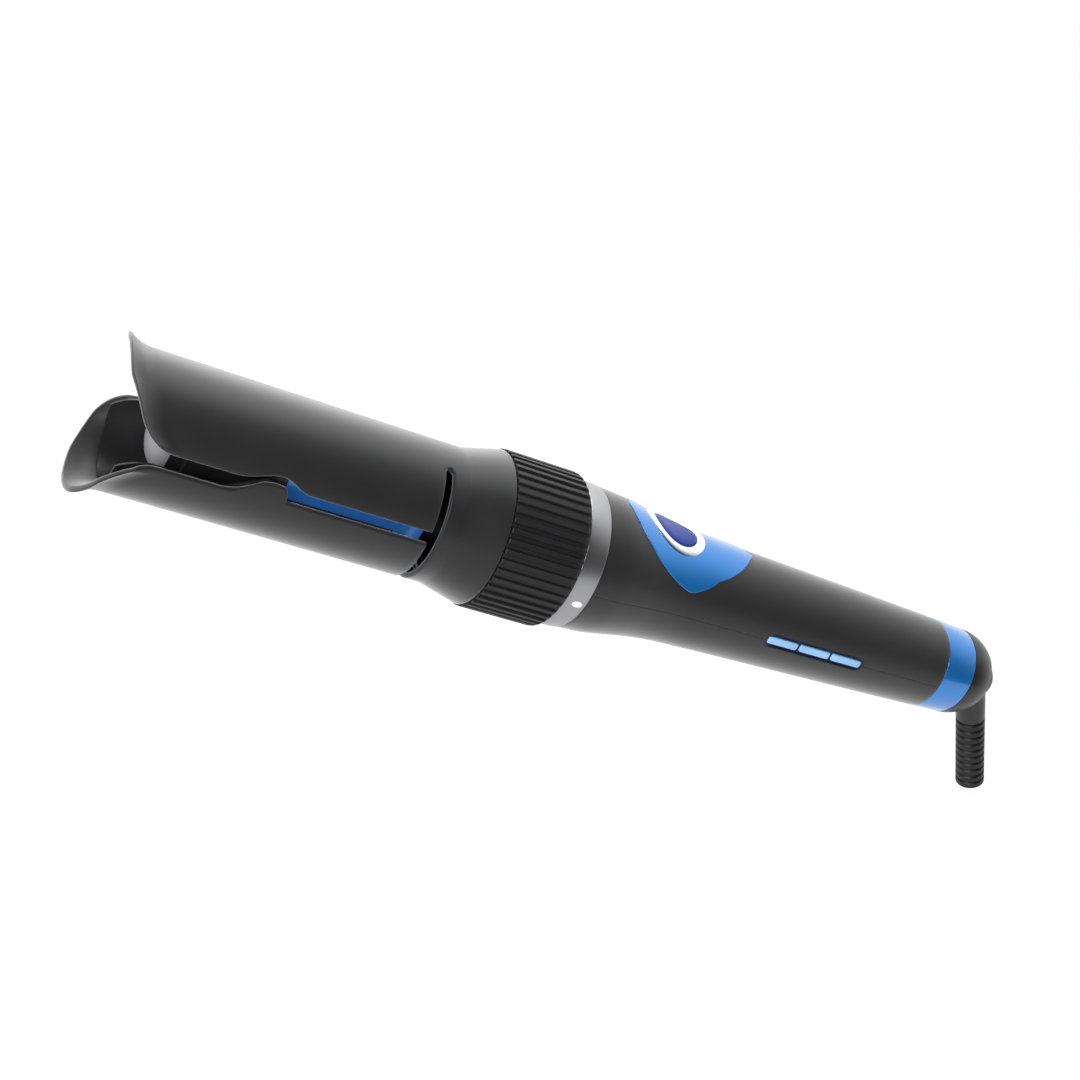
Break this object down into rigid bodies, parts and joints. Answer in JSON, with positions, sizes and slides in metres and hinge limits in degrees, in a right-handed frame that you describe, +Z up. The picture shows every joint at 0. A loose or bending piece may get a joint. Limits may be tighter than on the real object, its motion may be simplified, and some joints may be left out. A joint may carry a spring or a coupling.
{
  "type": "automatic hair curler",
  "caption": "Automatic hair curler with a two-petal guard round a turning heated barrel, a ribbed twist ring, side keys and a swivelling cord boot.",
  "frame": {"origin": "middle of the bounding box on the level of the tool's lowest point, the end of the hanging cord boot", "axes": "+X along the tool from the guard's lips to the cord, +Z up through the shield panel, side keys towards -Y"},
  "size_m": [0.402, 0.0574, 0.0782],
  "materials": {
    "soft_black": "soft-touch matt",
    "liner_black": "satin",
    "ring_rubber": "matt",
    "satin_silver": "satin",
    "bright_chrome": "polished",
    "metallic_blue": "gloss metallic",
    "deep_blue": "gloss",
    "key_blue": "gloss",
    "navy_frame": "gloss",
    "barrel_blue": "coated",
    "tip_grey": "satin",
    "white_mark": "matt",
    "boot_rubber": "matt",
    "inner_plastic": "matt",
    "machined_alu": "machined",
    "steel": "bright",
    "brass_part": "machined",
    "ceramic": "matt",
    "board_green": "satin"
  },
  "bodies": {
    "handle": {"upper_guard": "soft_black", "upper_liner": "liner_black", "jaw_hinge_pin": "steel", "core_spindle": "steel", "heat_head": "machined_alu", "heater_tube": "ceramic", "thermostat": "steel", "gear_plate": "inner_plastic", "barrel_bush": "brass_part", "motor_plate": "inner_plastic", "plate_spacers": "brass_part", "plate_screws": "steel", "gear_motor": "steel", "neck_tube": "inner_plastic", "ring_detent": "steel", "accent_band": "satin_silver", "index_dot": "white_mark", "handle_screws": "steel", "handle_upper_shell": "soft_black", "handle_lower_shell": "soft_black", "shield_panel": "metallic_blue", "start_bezel": "bright_chrome", "key_frame": "navy_frame", "key_switches": "inner_plastic", "key_board": "board_green", "control_board": "board_green", "start_switch": "inner_plastic", "cord_clamp": "inner_plastic", "rear_band": "metallic_blue", "end_cap": "liner_black"},
    "jaw": {"lower_jaw": "soft_black", "jaw_liner": "liner_black", "jaw_spring": "steel"},
    "rotor": {"barrel": "barrel_blue", "barrel_tip": "tip_grey", "barrel_hub": "inner_plastic", "drive_gear": "inner_plastic", "hair_hook": "liner_black"},
    "pinion": {"motor_pinion": "brass_part", "motor_shaft": "steel"},
    "ring": {"twist_ring": "ring_rubber"},
    "start": {"start_button": "deep_blue"},
    "key_front": {"side_key_front": "key_blue"},
    "key_middle": {"side_key_middle": "key_blue"},
    "key_rear": {"side_key_rear": "key_blue"},
    "swivel": {"swivel_elbow": "liner_black", "strain_relief": "boot_rubber", "swivel_clip": "inner_plastic"}
  },
  "joints": [
    {"name": "jaw_hinge", "type": "hinge", "parent": "handle", "child": "jaw", "pos_m": [-0.07954, 0, 0.03199], "axis": [0, -1, 0], "range_deg": [0, 12], "stiffness_Nm_per_rad": 0.12, "springref_deg": -25.78},
    {"name": "barrel_spin", "type": "hinge", "parent": "handle", "child": "rotor", "pos_m": [-0.13254, 0, 0.04949], "axis": [1, 0, 0], "continuous": true},
    {"name": "pinion_spin", "type": "hinge", "parent": "handle", "child": "pinion", "pos_m": [-0.05854, 0, 0.03349], "axis": [1, 0, 0], "continuous": true},
    {"name": "ring_twist", "type": "hinge", "parent": "handle", "child": "ring", "pos_m": [-0.04654, 0, 0.04949], "axis": [1, 0, 0], "range_deg": [0, 30]},
    {"name": "start_press", "type": "slide", "parent": "handle", "child": "start", "axis": [0, 0, -1], "range_m": [0, 0.0012], "stiffness_N_per_m": 500, "springref_m": -0.001},
    {"name": "key_front_press", "type": "slide", "parent": "handle", "child": "key_front", "axis": [0, 1, 0], "range_m": [0, 0.0008], "stiffness_N_per_m": 500, "springref_m": -0.001},
    {"name": "key_middle_press", "type": "slide", "parent": "handle", "child": "key_middle", "axis": [0, 1, 0], "range_m": [0, 0.0008], "stiffness_N_per_m": 500, "springref_m": -0.001},
    {"name": "key_rear_press", "type": "slide", "parent": "handle", "child": "key_rear", "axis": [0, 1, 0], "range_m": [0, 0.0008], "stiffness_N_per_m": 500, "springref_m": -0.001},
    {"name": "cord_swivel", "type": "hinge", "parent": "handle", "child": "swivel", "pos_m": [0.16446, 0, 0.04949], "axis": [1, 0, 0], "continuous": true}
  ],
  "couplings": [
    {"joint": "pinion_spin", "follows": "barrel_spin", "ratio": -3}
  ]
}
